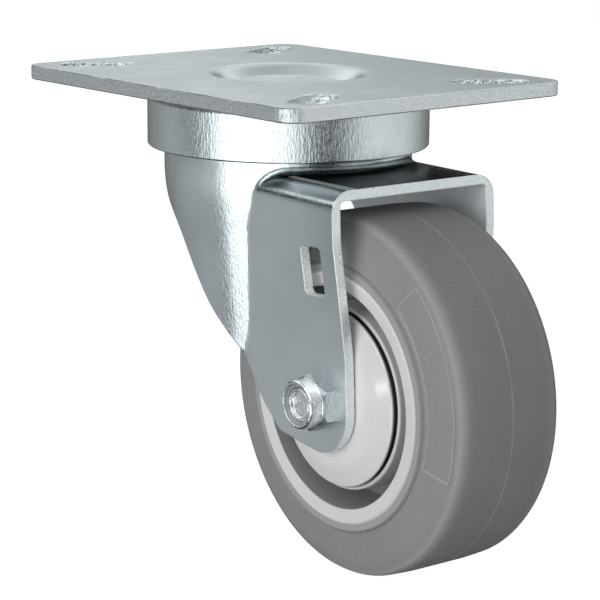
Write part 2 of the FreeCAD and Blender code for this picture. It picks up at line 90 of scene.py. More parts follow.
camera_data = bpy.data.cameras.new("camera")
camera_data.sensor_width = SENSOR_MM
camera_data.lens = LENS_MM
camera_data.clip_start = NEAREST
camera_data.clip_end = FARTHEST
camera = bpy.data.objects.new("camera", camera_data)
bpy.context.scene.collection.objects.link(camera)
turn = Matrix((rolled_right, rolled_up, back)).transposed()
camera.matrix_world = Matrix.Translation(CAMERA_PLACE) @ turn.to_4x4()
bpy.context.scene.camera = camera
bpy.context.scene.view_settings.view_transform = "Standard"
print("camera at", tuple(round(v, 3) for v in CAMERA_PLACE), "lens", LENS_MM)

# %% [markdown]
# A small kit for node materials
# A procedural finish is a graph of small nodes. Writing each graph out in full hides the idea, so a few
# helpers make a node, feed its inputs and hand back the output that the next node reads. Most of them make
# masks: a mask is 1 where a finish applies, 0 where it doesn't, and passes between the two over a band.

# %% Node helpers
WHITE = (1.0, 1.0, 1.0, 1.0)
BEVEL_SAMPLES = 6


def opaque(colour, factor=1.0):
    """A colour times a factor, held at 1, with its alpha."""
    return tuple(min(factor * c, 1.0) for c in colour) + (1.0,)


def grey(value):
    """A grey with its alpha."""
    return (value, value, value, 1.0)


class Graph:
    """A node tree with short ways to add and join nodes."""

    def __init__(self, tree):
        self.tree = tree
        self.tree.nodes.clear()

    def node(self, kind, **settings):
        """A new node with its settings by name."""
        made = self.tree.nodes.new(kind)
        for key, value in settings.items():
            setattr(made, key, value)
        return made

    def feed(self, socket, value):
        """Joins an output to a socket, or sets the socket's own value."""
        if isinstance(value, bpy.types.NodeSocket):
            self.tree.links.new(value, socket)
        else:
            socket.default_value = value

    def named(self, kind, **inputs):
        """A new node with its inputs by name."""
        made = self.node(kind)
        for key, value in inputs.items():
            self.feed(made.inputs[key.replace("_", " ")], value)
        return made

    def ordered(self, made, *values):
        """A node with its first inputs in order."""
        for socket, value in zip(made.inputs, values):
            self.feed(socket, value)
        return made

    def shader(self, kind, **inputs):
        """A shader with its inputs by name."""
        return self.named(kind, **inputs).outputs[0]

    def blend(self, factor, one, other):
        """A shader between two others."""
        return self.ordered(self.node("ShaderNodeMixShader"), factor, one, other).outputs[0]

    def end(self, kind, shader):
        """The output at the end of the graph."""
        self.named(kind, Surface=shader)

    def math(self, operation, *values, clamp=False):
        """A sum, product or other function of numbers."""
        made = self.node("ShaderNodeMath", operation=operation, use_clamp=clamp)
        return self.ordered(made, *values).outputs[0]

    def both(self, one, other):
        """The product, which masks a point only where both do."""
        return self.math("MULTIPLY", one, other)

    def either(self, one, other):
        """The larger one, which masks a point where either does."""
        return self.math("MAXIMUM", one, other)

    def rest(self, mask):
        """A mask of all that a mask leaves out."""
        return self.math("SUBTRACT", 1.0, mask)

    def size(self, value):
        """A number without its sign."""
        return self.math("ABSOLUTE", value)

    def spread(self, value, low, high, to_low, to_high):
        """Maps a range of a value onto another range, held at its ends."""
        made = self.node("ShaderNodeMapRange", clamp=True)
        return self.ordered(made, value, low, high, to_low, to_high).outputs[0]

    def rises(self, value, band, most=1.0):
        """A mask that rises from 0 to its most over a band of a value."""
        return self.spread(value, *band, 0.0, most)

    def falls(self, value, band, least=0.0):
        """A mask that falls from 1 to its least over a band of a value."""
        return self.spread(value, *band, 1.0, least)

    def ramp(self, value, stops, interpolation="LINEAR"):
        """A colour ramp through (position, grey or colour) stops."""
        made = self.node("ShaderNodeValToRGB")
        made.color_ramp.interpolation = interpolation
        elements = made.color_ramp.elements
        while len(elements) > 1:
            elements.remove(elements[-1])
        for index, (position, colour) in enumerate(stops):
            if not isinstance(colour, tuple):
                colour = (colour, colour, colour)
            element = elements[0] if index == 0 else elements.new(position)
            element.position = position
            element.color = opaque(colour)
        self.feed(made.inputs[0], value)
        return made.outputs[0]

    def mix(self, factor, one, other):
        """A colour between two others. Inputs 6 and 7 are the node's pair of colours."""
        made = self.node("ShaderNodeMix", data_type="RGBA")
        for place, value in ((0, factor), (6, one), (7, other)):
            self.feed(made.inputs[place], value)
        return made.outputs[2]

    def coats(self, tone, *pairs):
        """Lays one tone after another over a tone, each as far as its mask says."""
        for mask, colour in pairs:
            tone = self.mix(mask, tone, colour)
        return tone

    def adds(self, value, *pairs):
        """Adds one amount after another to a value, each as far as its mask says."""
        for mask, amount in pairs:
            value = self.math("MULTIPLY_ADD", mask, amount, value)
        return value

    def vector(self, operation, *values):
        """A vector sum or difference, or the number that a dot product or a length gives."""
        made = self.node("ShaderNodeVectorMath", operation=operation)
        output = "Value" if operation in ("DOT_PRODUCT", "LENGTH") else "Vector"
        return self.ordered(made, *values).outputs[output]

    def split(self, vector):
        """The x, y and z of a vector."""
        return self.ordered(self.node("ShaderNodeSeparateXYZ"), vector).outputs

    def here(self):
        """The point's own place on the object, in metres."""
        return self.node("ShaderNodeTexCoord").outputs["Object"]

    def stretched(self, scale):
        """The point's own place, with each axis multiplied by its scale."""
        return self.named("ShaderNodeMapping", Scale=scale, Vector=self.here()).outputs[0]

    def facing(self):
        """The x, y and z of the object's own normal, which turns with it."""
        return self.split(self.node("ShaderNodeTexCoord").outputs["Normal"])

    def noise(self, scale, detail, roughness, distortion=0.0, vector=None):
        """A noise with so many waves to the metre, at the point's own place or at another vector."""
        vector = self.here() if vector is None else vector
        made = self.named("ShaderNodeTexNoise", Vector=vector, Scale=scale, Detail=detail,
                          Roughness=roughness, Distortion=distortion)
        return made.outputs["Fac"]

    def bump(self, height, distance, strength=1.0, normal=None):
        """A normal that follows a height over another normal, or over the surface's own."""
        made = self.named("ShaderNodeBump", Strength=strength, Distance=distance, Height=height)
        if normal is not None:
            self.feed(made.inputs["Normal"], normal)
        return made.outputs[0]

    def rounded(self, radius):
        """The normal with sharp edges rounded off over a small radius."""
        made = self.node("ShaderNodeBevel", samples=BEVEL_SAMPLES)
        self.feed(made.inputs["Radius"], radius)
        return made.outputs[0]


def new_material(name):
    """An empty material with its graph."""
    made = bpy.data.materials.new(name)
    made.use_nodes = True
    return made, Graph(made.node_tree)


def surface(graph, **inputs):
    """Ends a graph with the common surface shader."""
    graph.end("ShaderNodeOutputMaterial", graph.shader("ShaderNodeBsdfPrincipled", **inputs))


print("helpers", sum(callable(value) for value in vars(Graph).values()))

# %% [markdown]
# The studio
# Bare metal has hardly a colour of its own: it shows what stands round it. The long white band down the
# skirt is a tall soft box at the left of the camera, and the grey beside it is the darker room. So the
# surroundings are a ring of brightness that depends on direction alone, and only reflections read it. Matt
# surfaces take an even fill from the same world, and three soft lamps give them their direction. Two narrow
# lamps do the rest: one lights the tyre behind the leg's slot, one puts the glint on the dome.

# %% Surroundings
# RING and OVERHEAD_RING give a brightness at a bearing in degrees, STORIES and OVERHEAD at a height, which
# runs from -1 straight down to 1 straight up. A colour ramp holds 1 at most, so BRIGHTEST scales it.
RING = [(-180, 0.30), (-160, 0.44), (-146, 0.53), (-130, 0.38), (-113, 0.29), (-104, 0.56), (-98, 2.3),
        (-48, 2.1), (-38, 1.4), (-28, 0.66), (-15, 0.12), (-5, 0.05), (5, 0.20), (15, 0.92), (28, 1.04),
        (65, 0.83), (85, 0.60), (104, 0.26), (140, 0.10), (180, 0.30)]
STORIES = [(-1.0, 0.10), (-0.60, 0.25), (-0.42, 1.0), (-0.02, 1.0), (0.06, 0.12), (0.28, 0.06), (0.40, 0.6)]
OVERHEAD = [(-1.0, 0.0), (0.32, 0.0), (0.46, 1.7), (0.62, 1.5), (0.85, 0.7), (1.0, 0.5)]
OVERHEAD_RING = [(-180, 1.0), (-120, 0.8), (-60, 0.55), (20, 0.6), (50, 0.6), (80, 0.25), (112, 1.0),
                 (180, 1.0)]
BRIGHTEST = 2.5
COOL = (0.94, 0.985, 1.0, 1.0)
FILL = 0.36

world = bpy.data.worlds.new("studio")
bpy.context.scene.world = world
world.use_nodes = True
sky = Graph(world.node_tree)
east, north, upwards = sky.split(sky.node("ShaderNodeTexCoord").outputs["Generated"])
bearing = sky.spread(sky.math("ARCTAN2", north, east), -math.pi, math.pi, 0.0, 1.0)
height = sky.spread(upwards, -1.0, 1.0, 0.0, 1.0)


def by_bearing(stops, most=1.0):
    """The level at this bearing, as a share of the most."""
    return sky.ramp(bearing, [((angle + 180) / 360, level / most) for angle, level in stops], "EASE")


def by_height(stops, most=1.0):
    """The level at this height, as a share of the most."""
    return sky.ramp(height, [((z + 1) / 2, level / most) for z, level in stops], "EASE")


ring = sky.both(by_bearing(RING, BRIGHTEST), BRIGHTEST)
story = by_height(STORIES)
overhead = sky.both(by_height(OVERHEAD, BRIGHTEST), by_bearing(OVERHEAD_RING))
brightness = sky.math("MULTIPLY_ADD", overhead, BRIGHTEST, sky.both(ring, story))

rays = sky.node("ShaderNodeLightPath").outputs
fill = sky.shader("ShaderNodeBackground", Color=WHITE, Strength=FILL)
mirrored = sky.shader("ShaderNodeBackground", Color=COOL, Strength=brightness)
seen = sky.shader("ShaderNodeBackground", Color=WHITE)
lit = sky.blend(rays["Is Glossy Ray"], fill, mirrored)
looked_at = sky.either(rays["Is Camera Ray"], rays["Is Transmission Ray"])
sky.end("ShaderNodeOutputWorld", sky.blend(looked_at, lit, seen))
print("surroundings with", len(RING), "bearings")

# %% Lamps
CENTRE = Vector((0.02, 0.0, -0.065))
BEHIND_SLOT = Vector((0.049, -0.029, -0.0475))
ON_DOME = Vector((0.0678, -0.0242, -0.0761))
SPOT_SOFTNESS = 0.6


def hang(name, data, aim, away, distance, mirrored):
    """Puts a lamp at a distance from the aimed point, along a unit direction, facing the point."""
    made = bpy.data.objects.new(name, data)
    bpy.context.scene.collection.objects.link(made)
    made.location = aim + away * distance
    made.rotation_mode = "QUATERNION"
    made.rotation_quaternion = away.to_track_quat("Z", "Y")
    made.visible_glossy = mirrored


def soft_lamp(name, bearing_degrees, elevation_degrees, distance, size, power):
    """A square soft lamp at a bearing and height, aimed at the object's middle."""
    a = math.radians(bearing_degrees)
    e = math.radians(elevation_degrees)
    away = Vector((math.cos(a) * math.cos(e), math.sin(a) * math.cos(e), math.sin(e)))
    data = bpy.data.lights.new(name, "AREA")
    data.shape = "SQUARE"
    data.size = size
    data.energy = power
    hang(name, data, CENTRE, away, distance, False)


def narrow_lamp(name, aim, toward, distance, spread_degrees, power, size, mirrored):
    """A narrow round lamp that lies from the aimed point towards a direction."""
    data = bpy.data.lights.new(name, "SPOT")
    data.energy = power
    data.spot_size = math.radians(spread_degrees)
    data.spot_blend = SPOT_SOFTNESS
    data.shadow_soft_size = size
    hang(name, data, aim, toward.normalized(), distance, mirrored)


soft_lamp("key", -80, 16, 1.2, 0.9, 8.9)
soft_lamp("front", -58, 6, 1.4, 0.9, 1.2)
soft_lamp("top", 10, 68, 1.2, 0.8, 1.0)
narrow_lamp("behind_slot", BEHIND_SLOT, CAMERA_PLACE - BEHIND_SLOT, 0.8, 1.3, 20.0, 0.01, False)
narrow_lamp("hub_glint", ON_DOME, Vector((-0.372, -0.921, -0.11)), 0.4, 3.0, 0.07, 0.008, True)
print("lamps", [light.name for light in bpy.data.lights])

# %% [markdown]
# The floor
# The wheel stands on a pale floor that fades into the white round it. Reflections look through the floor
# to the ring of brightness, so the metal shows the studio and not the floor's edge.

# %% Floor
FLOOR_RADIUS = 1.5
FLOOR_SIDES = 96
FLOOR_GAP = 0.0002
FLOOR_TONE = grey(0.86)
FLOOR_GLOW = 1.3
FLOOR_GLOW_SHARE = 0.75

floor_z = cad_box[0].z - FLOOR_GAP
angles = np.linspace(0, 2 * math.pi, FLOOR_SIDES, endpoint=False)
rim = np.stack([FLOOR_RADIUS * np.cos(angles), FLOOR_RADIUS * np.sin(angles),
                np.full(FLOOR_SIDES, floor_z)], 1)
floor_mesh = bpy.data.meshes.new("floor")
floor_mesh.from_pydata(rim.tolist(), [], [list(range(FLOOR_SIDES))])
floor = bpy.data.objects.new("floor", floor_mesh)
bpy.context.scene.collection.objects.link(floor)

floor_material, g = new_material("pale_floor")
rays = g.node("ShaderNodeLightPath").outputs
pale = g.shader("ShaderNodeBsdfDiffuse", Color=FLOOR_TONE)
glow = g.shader("ShaderNodeEmission", Color=WHITE, Strength=FLOOR_GLOW)
seen = g.blend(rays["Is Camera Ray"], pale, g.blend(FLOOR_GLOW_SHARE, pale, glow))
clear = g.shader("ShaderNodeBsdfTransparent")
g.end("ShaderNodeOutputMaterial", g.blend(rays["Is Glossy Ray"], seen, clear))
floor_mesh.materials.append(floor_material)
print("floor at", round(floor_z, 4))

# %% [markdown]
# Places on the wheel
# Several finishes and shapes follow the wheel, so they need two numbers for each point: how far it lies
# along the axle from the wheel's middle, and how far from the axle. The joint says where the axle is.

# %% Wheel measures
spin = next(joint for joint in frame["record"]["behaviour"]["joints"] if joint["name"] == "wheel_spin")
WHEEL_CENTRE = np.array(spin["pos_m"])
AXLE = np.array(spin["axis"]) / np.linalg.norm(spin["axis"])
FORWARD = np.array([AXLE[1], -AXLE[0], 0.0])
UP = np.array([0.0, 0.0, 1.0])


def on_wheel(g):
    """Sockets for the distance along the axle, without its sign, and the distance from the axle.

    With the reach r from the wheel's middle and the part a of it along the axle, the distance from the
    axle is sqrt(r^2 - a^2).
    """
    away = g.vector("SUBTRACT", g.here(), tuple(WHEEL_CENTRE))
    along = g.vector("DOT_PRODUCT", away, tuple(AXLE))
    reach = g.vector("LENGTH", away)
    square = g.math("SUBTRACT", g.both(reach, reach), g.both(along, along))
    return g.size(along), g.math("SQRT", square)


print("wheel centre", [round(float(v), 4) for v in WHEEL_CENTRE])

# %% [markdown]
# Zinc plate on steel
# Every sheet piece is steel with bright zinc on it. The zinc is a cool grey metal with a fine grain that
# breaks up the edge of each highlight, and faint lines where the sheet slid through the drawing tool.
# A zone is a mask made from the place or the facing of a point. It lets one sheet have a crown with painted
# shade, matt inner faces and rough sheared edges without cutting it into pieces.

# %% Zinc
# A noise is (waves to the metre, detail, roughness) and sometimes a distortion. A band is a range of a
# place in metres, or of one part of the normal, which runs from -1 to 1.
METAL_GRAIN = (1700.0, 3.0, 0.6)
METAL_CLOUD = (60.0, 3.0, 0.55)
METAL_SPECK = (900.0, 2.0, 0.5)
METAL_PITS = (750.0, 3.0, 0.6)
CLOUD_BAND = (0.3, 0.7)
EDGE_HIGHLIGHT_BAND = (0.86, 0.97)
GRAIN_DEPTH = 0.00008
CLOUD_STRENGTH = 0.25
PIT_DEPTH = 0.0004
WHOLE = (0.0, 1.0)


def zinc(name, tint, rough, grain, drawn=(1.0, 1.0, 1.0), edge=0.0, zones=None):
    """Metal whose tone, roughness and normal each follow a fine noise, stretched along the drawn lines."""
    made, g = new_material(name)
    fine = g.noise(*METAL_GRAIN, vector=g.stretched(drawn))
    cloud = g.noise(*METAL_CLOUD)
    tone = g.mix(g.rises(cloud, CLOUD_BAND), opaque(tint, 0.90), opaque(tint, 1.06))
    roughness = g.spread(g.noise(*METAL_SPECK), 0.25, 0.75, rough - 0.05, rough + 0.06)
    metal, pitted = 1.0, 0.0
    if zones is not None:
        tone, roughness, metal, pitted = zones(g, tone, roughness)
    base = None
    if edge > 0:
        base = g.rounded(edge)
        flat = g.node("ShaderNodeNewGeometry").outputs["Normal"]
        # Painted highlight: at sharp edges, where the rounded normal leaves the flat one, the tone goes to
        # white.
        tone = g.mix(g.falls(g.vector("DOT_PRODUCT", base, flat), EDGE_HIGHLIGHT_BAND), tone, WHITE)
    wave = g.bump(cloud, GRAIN_DEPTH, CLOUD_STRENGTH, base)
    grained = g.bump(g.both(fine, g.math("POWER", metal, 4.0)), GRAIN_DEPTH * grain, 1.0, wave)
    normal = g.bump(g.both(g.noise(*METAL_PITS), pitted), PIT_DEPTH, 1.0, grained)
    surface(g, Base_Color=tone, Metallic=metal, Roughness=roughness, Normal=normal)
    return made


CROWN_FACING = (0.86, 0.97)
CROWN_HEIGHT = (-0.0285, -0.0270)
CROWN_WIDTH = (-0.008, 0.016)
CROWN_SHADE = [(0.0, (0.12, 0.13, 0.135)), (1.0, (0.88, 0.90, 0.91))]
INWARD_FACING = (0.35, 0.65)
CUT_FACING = (0.10, 0.16)
CUT_OFF_MIDDLE = (0.0222, 0.0224)
FRONT_FACING = (0.80, 0.92)
FRONT_PLACE = (0.040, 0.041)
FLANK_FACING = (0.94, 0.985)
LEG_PLACE = (0.010, 0.016)
CORNER_PLACE = (0.042, 0.056)
CORNER_HEIGHT = (-0.062, -0.042)
INNER_TONE = (0.88, 0.92, 0.94, 1.0)
CUT_TONE = (0.86, 0.91, 0.92, 1.0)
LEG_TONE = (0.80, 0.85, 0.87, 1.0)
CORNER_PAINTED_SHADE = (0.34, 0.37, 0.38, 1.0)


def fork_zones(g, tone, roughness):
    """Painted shade on the crown and the upper front corner, matt inner faces and pale sheared edges."""
    x, y, z = g.split(g.here())
    across, along, upward = g.facing()
    crown = g.both(g.rises(upward, CROWN_FACING), g.rises(z, CROWN_HEIGHT))
    # Painted shade: the crown runs from near black at its near side to pale at its far side, standing in
    # for the plate's shade.
    shade = g.ramp(g.rises(y, CROWN_WIDTH), CROWN_SHADE)
    inward = g.both(g.both(along, g.math("SIGN", y)), -1.0)
    inside = g.rises(g.either(inward, g.both(upward, -1.0)), INWARD_FACING)
    leg_cut = g.both(g.falls(g.size(along), CUT_FACING), g.rises(g.size(y), CUT_OFF_MIDDLE))
    front_cut = g.both(g.rises(across, FRONT_FACING), g.rises(x, FRONT_PLACE))
    sheared = g.either(leg_cut, front_cut)
    flank = g.both(g.rises(g.size(along), FLANK_FACING), g.rest(inside))
    leg = g.both(flank, g.rises(x, LEG_PLACE, 0.5))
    # Painted shade: the flank darkens towards the leg's upper front corner.
    corner = g.both(flank, g.both(g.rises(x, CORNER_PLACE, 0.45), g.rises(z, CORNER_HEIGHT)))
    tone = g.coats(tone, (crown, shade), (inside, INNER_TONE), (sheared, CUT_TONE), (leg, LEG_TONE),
                   (corner, CORNER_PAINTED_SHADE))
    roughness = g.adds(roughness, (crown, -0.09), (inside, 0.26), (flank, 0.28), (sheared, 0.10))
    metal = g.falls(g.either(inside, g.both(sheared, 0.8)), WHOLE, 0.35)
    return tone, roughness, metal, g.both(sheared, 0.12)


RIM_X = (0.0590, 0.0600)
RIM_Y = (0.0480, 0.0490)
DIP_RADIUS = (0.030, 0.032)
EDGE_FACING = (0.35, 0.80)
SLOT_FACING = (0.80, 0.95)
DIP_FACING = (0.96, 0.998)
REFLECTION_LINE_FROM = (0.20, 0.50)
REFLECTION_LINE_TO = (0.90, 0.98)
REFLECTION_LINE_SIDE = (-0.6, -0.2)
EDGE_SIDE = (-0.6, -0.3)
REFLECTION_LINE_BREAKS = (130.0, 3.0, 0.6)
SHEEN_SLANT = -0.5
SHEEN_BAND = (-0.06, 0.08)
PAINTED_SHEEN_RAMP = [(0.0, 0.0), (0.64, 0.85), (0.79, 0.85), (1.0, 0.6)]
PLATE_SHEEN_DARK_TONE = (0.38, 0.40, 0.41, 1.0)
PLATE_EDGE_TONE = (0.84, 0.88, 0.89, 1.0)
PLATE_SIDE_PAINTED_SHADE = (0.69, 0.72, 0.73, 1.0)
PAINTED_DARK_REFLECTION = (0.07, 0.075, 0.08, 1.0)
DIP_PAINTED_SHADE = (0.54, 0.56, 0.57, 1.0)


def plate_zones(g, tone, roughness):
    """Pale sheared edges and pitted slot walls, with painted light and shade: a darker -Y side edge, a dark
    reflection line along the rim's rounding, shade in the dip round the pin and a slow sheen across the
    top.
    """
    x, y, _ = g.split(g.here())
    _, along, upward = g.facing()
    near_rim = g.either(g.rises(g.size(x), RIM_X), g.rises(g.size(y), RIM_Y))
    edge = g.falls(g.size(upward), EDGE_FACING)
    rim_edge = g.both(edge, near_rim)
    # Painted shade: the rim's edge on the -Y side gets a darker tone than the other edges.
    side_edge = g.both(rim_edge, g.falls(along, EDGE_SIDE))
    slot_wall = g.both(g.falls(upward, SLOT_FACING), g.rest(near_rim))
    from_pin = g.math("SQRT", g.math("ADD", g.both(x, x), g.both(y, y)))
    # Painted shade: the sloping wall of the dip round the pin is darker.
    dip = g.both(g.falls(upward, DIP_FACING), g.falls(from_pin, DIP_RADIUS))
    # Painted dark reflection: a broken, near black line along the rounding between the top and the -Y side
    # edge.
    bend = g.both(g.rises(upward, REFLECTION_LINE_FROM), g.falls(upward, REFLECTION_LINE_TO))
    reflection_line = g.both(g.both(bend, near_rim), g.falls(along, REFLECTION_LINE_SIDE))
    broken = g.spread(g.noise(*REFLECTION_LINE_BREAKS), 0.35, 0.60, 0.55, 0.95)
    # Painted reflection: a slow sheen across the top, which keeps the plate's own tone on one side and
    # darkens it on the other.
    sheen_across = g.math("SUBTRACT", g.both(x, SHEEN_SLANT), y)
    pale = g.ramp(g.rises(sheen_across, SHEEN_BAND), PAINTED_SHEEN_RAMP)
    tone = g.mix(pale, g.mix(0.75, tone, PLATE_SHEEN_DARK_TONE), tone)
    tone = g.coats(tone, (edge, PLATE_EDGE_TONE), (side_edge, PLATE_SIDE_PAINTED_SHADE),
                   (g.both(reflection_line, broken), PAINTED_DARK_REFLECTION), (dip, DIP_PAINTED_SHADE))
    roughness = g.adds(roughness, (edge, -0.06), (slot_wall, -0.12), (dip, 0.08))
    metal = g.falls(g.adds(rim_edge, (side_edge, -0.8)), WHOLE, 0.55)
    pitted = g.adds(edge, (slot_wall, 1.4))
    return tone, roughness, metal, g.both(pitted, g.rises(from_pin, DIP_RADIUS))


TOOL_BLOTCH = (420.0, 2.0, 0.6, 0.6)
BLOTCH_BAND = (0.42, 0.62)
FLATS_RADIUS = (0.00685, 0.00710)
COLLAR_RADIUS = (0.0066, 0.0067)
AHEAD_FACING = (0.70, 0.90)
BLOTCH_TONE = (0.50, 0.52, 0.53, 1.0)
FLATS_PAINTED_SHADE = (0.22, 0.24, 0.25, 1.0)
AHEAD_FLATS_PAINTED_LIGHT = (0.52, 0.54, 0.55, 1.0)


def fastener_zones(g, tone, roughness):
    """Tool marks in dull blotches, painted shade on the hexagon's flats, lighter where they face ahead, and
    a painted highlight on the collar.
    """
    _, radius = on_wheel(g)
    blotch = g.rises(g.noise(*TOOL_BLOTCH), BLOTCH_BAND, 0.45)
    flats = g.rises(radius, FLATS_RADIUS, 0.8)
    collar = g.math("SUBTRACT", g.rises(radius, COLLAR_RADIUS), flats)
    # Painted shade and light: the flats are dark, and lighter where they face ahead.
    flats_painted_shade = g.mix(g.rises(g.facing()[0], AHEAD_FACING), FLATS_PAINTED_SHADE, AHEAD_FLATS_PAINTED_LIGHT)
    # Painted highlight: the collar between the flats and the pin is mixed towards white.
    tone = g.coats(tone, (blotch, BLOTCH_TONE), (g.math("MULTIPLY", collar, 0.7, clamp=True), WHITE),
                   (flats, flats_painted_shade))
    return tone, g.adds(roughness, (flats, 0.10), (blotch, 0.10)), 1.0, 0.55


METALS = {
    "zinc_plate": {"tint": (0.80, 0.84, 0.85), "rough": 0.42, "grain": 0.12, "zones": plate_zones},
    "zinc_housing": {"tint": (0.66, 0.70, 0.71), "rough": 0.18, "grain": 1.7, "drawn": (1.0, 1.0, 0.25)},
    "zinc_fork": {"tint": (0.68, 0.73, 0.75), "rough": 0.19, "grain": 1.0, "drawn": (1.0, 1.0, 0.35),
                  "edge": 0.0005, "zones": fork_zones},
    "fastener_zinc": {"tint": (0.90, 0.92, 0.93), "rough": 0.14, "grain": 0.6, "edge": 0.0004,
                      "zones": fastener_zones},
    "bright_steel": {"tint": (0.78, 0.81, 0.82), "rough": 0.40, "grain": 0.3},
    "bearing_steel": {"tint": (0.60, 0.60, 0.61), "rough": 0.20, "grain": 0.05},
    "ball_steel": {"tint": (0.72, 0.72, 0.73), "rough": 0.08, "grain": 0.02},
}
finishes = {name: zinc(name, **values) for name, values in METALS.items()}
print("metals", sorted(finishes))

# %% [markdown]
# Moulded rubber and plastic
# Mouldings have an even colour of their own, with the fine leathery texture of the mould. The tyre shows
# the thin pale line where the mould's halves met, and its lip beside the core is a shade lighter.

# %% Moulded finishes
MOULD_CLOUD = (45.0, 3.0, 0.55)
MOULD_LEATHER = (1800.0, 3.0, 0.6)
MOULD_PORES = (2600.0, 1.0, 0.5)
PORE_BAND = (0.30, 0.50)
LEATHER_DEPTH = 0.00006


def moulded(name, colour, rough, texture, specular=0.5, index=1.5, zones=None):
    """A moulded surface: an even colour with a slight cloud, and a fine leathery texture from the mould."""
    made, g = new_material(name)
    fine = g.noise(*MOULD_LEATHER)
    tone = g.mix(g.rises(g.noise(*MOULD_CLOUD), CLOUD_BAND), opaque(colour, 0.96), opaque(colour, 1.03))
    pores = g.falls(g.noise(*MOULD_PORES), PORE_BAND)
    tone = g.mix(g.both(pores, texture), tone, opaque(colour, 0.6))
    if zones is not None:
        tone = zones(g, tone)
    roughness = g.spread(fine, *CLOUD_BAND, rough - 0.03, rough + 0.04)
    surface(g, Base_Color=tone, Roughness=roughness, Normal=g.bump(fine, LEATHER_DEPTH, texture),
            Specular_IOR_Level=specular, IOR=index)
    return made


SHOULDER_ALONG = (0.0125, 0.0142)
SHOULDER_RADIUS = (0.0478, 0.0490)
RIDGE_ALONG = (0.0155, 0.0162)
RIDGE_RADIUS = (0.0484, 0.0493)
LINE_ALONG = (0.00012, 0.00030)
LINE_RADIUS = (0.048, 0.049)
LINE_BREAKS = (55.0, 2.0, 0.5)
LIP_RADIUS = (0.0368, 0.0374)
TYRE_SPECKS = (520.0, 2.0, 0.6)
SPECK_BAND = (0.62, 0.72)


def tread_zones(g, tone):
    """Painted highlights along the tyre's shoulders and ridges, a scatter of specks, the mould's parting
    line and the pale lip.
    """
    along, radius = on_wheel(g)
    # Painted highlights: the rounded shoulders and the ridge at the side wall's edge are lighter than the
    # rubber.
    shoulder = g.both(g.rises(along, SHOULDER_ALONG), g.rises(radius, SHOULDER_RADIUS))
    ridge = g.both(g.rises(along, RIDGE_ALONG), g.rises(radius, RIDGE_RADIUS, 0.3))
    specks = g.rises(g.noise(*TYRE_SPECKS), SPECK_BAND, 0.25)
    faint = g.spread(g.noise(*LINE_BREAKS), 0.40, 0.60, 0.45, 1.0)
    line = g.both(g.both(g.falls(along, LINE_ALONG), faint), g.rises(radius, LINE_RADIUS))
    lip = g.falls(radius, LIP_RADIUS)
    return g.coats(tone, (shoulder, grey(0.27)), (ridge, grey(0.36)), (specks, grey(0.33)),
                   (line, grey(0.40)), (lip, grey(0.31)))


DEEP_ALONG = (0.0150, 0.0186)
DEEP_INNER = (0.0262, 0.0280)
DEEP_OUTER = (0.0295, 0.0320)
CORE_WALL_FACING = (0.20, 0.45)
CORE_WALL_INNER = (0.0300, 0.0304)
CORE_WALL_OUTER = (0.0318, 0.0322)


def core_zones(g, tone):
    """Painted shade darkens the deep ring between the hub and the rim, and its outer wall, against the
    rim's face.
    """
    along, radius = on_wheel(g)
    within = g.both(g.rises(radius, DEEP_INNER), g.falls(radius, DEEP_OUTER, 0.45))
    deep = g.both(g.falls(along, DEEP_ALONG), within)
    beside = g.both(g.rises(radius, CORE_WALL_INNER), g.falls(radius, CORE_WALL_OUTER))
    wall = g.both(g.falls(g.size(g.facing()[1]), CORE_WALL_FACING), beside)
    # Painted shade in the deep ring and on its outer wall.
    return g.coats(tone, (g.both(deep, 0.75), grey(0.22)), (g.both(wall, 0.8), grey(0.24)))


GUARD_WALL_FACING = (0.30, 0.60)
GUARD_UNDER = (0.01895, 0.01915)


def guard_zones(g, tone):
    """Painted shade on the guard's outer wall, darkest where it goes under the edge of the dome."""
    along, _ = on_wheel(g)
    wall = g.falls(g.size(g.facing()[1]), GUARD_WALL_FACING)
    # Painted shade: the wall is grey, and near black under the dome's edge.
    return g.mix(wall, tone, g.mix(g.falls(along, GUARD_UNDER), grey(0.40), grey(0.03)))


MOULDINGS = {
    "tread_rubber": {"colour": (0.245, 0.245, 0.247), "rough": 0.62, "texture": 0.35, "specular": 0.3,
                     "zones": tread_zones},
    "core_plastic": {"colour": (0.62, 0.62, 0.615), "rough": 0.42, "texture": 0.12, "zones": core_zones},
    # Painted light: the raised frames wear a lighter copy of the tyre's rubber.
    "tread_raised_painted_light": {"colour": (0.34, 0.34, 0.34), "rough": 0.50, "texture": 0.35},
    "guard_plastic": {"colour": (0.66, 0.66, 0.66), "rough": 0.17, "texture": 0.06, "index": 1.8,
                      "zones": guard_zones},
    "nylon": {"colour": (0.27, 0.28, 0.29), "rough": 0.35, "texture": 0.15},
}
finishes.update({name: moulded(name, **values) for name, values in MOULDINGS.items()})

slots = {row["node"]: row["material_slot"] for row in frame["record"]["subparts"]}
for name, node in nodes.items():
    for place in node.material_slots:
        place.material = finishes[slots[name]]
print("finishes on", len(nodes), "nodes")

# %% [markdown]
# Beads along a path
# A raised frame or a screw thread is a small bead that follows a path over a surface. Each is one grid of
# points: one way along the path, the other way round the bead's section.

# %% Bead maker
BEAD_STEPS = 8
BEAD_SUNK = 0.0002
BEAD_FOOT = 0.8


def add_piece(name, points, faces, finish, body):
    """One smooth mesh that wears a finish and moves with a body."""
    mesh = bpy.data.meshes.new(name)
    mesh.from_pydata(points.tolist(), [], faces)
    mesh.polygons.foreach_set("use_smooth", [True] * len(mesh.polygons))
    made = bpy.data.objects.new(name, mesh)
    bpy.context.scene.collection.objects.link(made)
    mesh.materials.append(finishes[finish])
    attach(made, body)
    print(name, len(mesh.polygons), "faces")


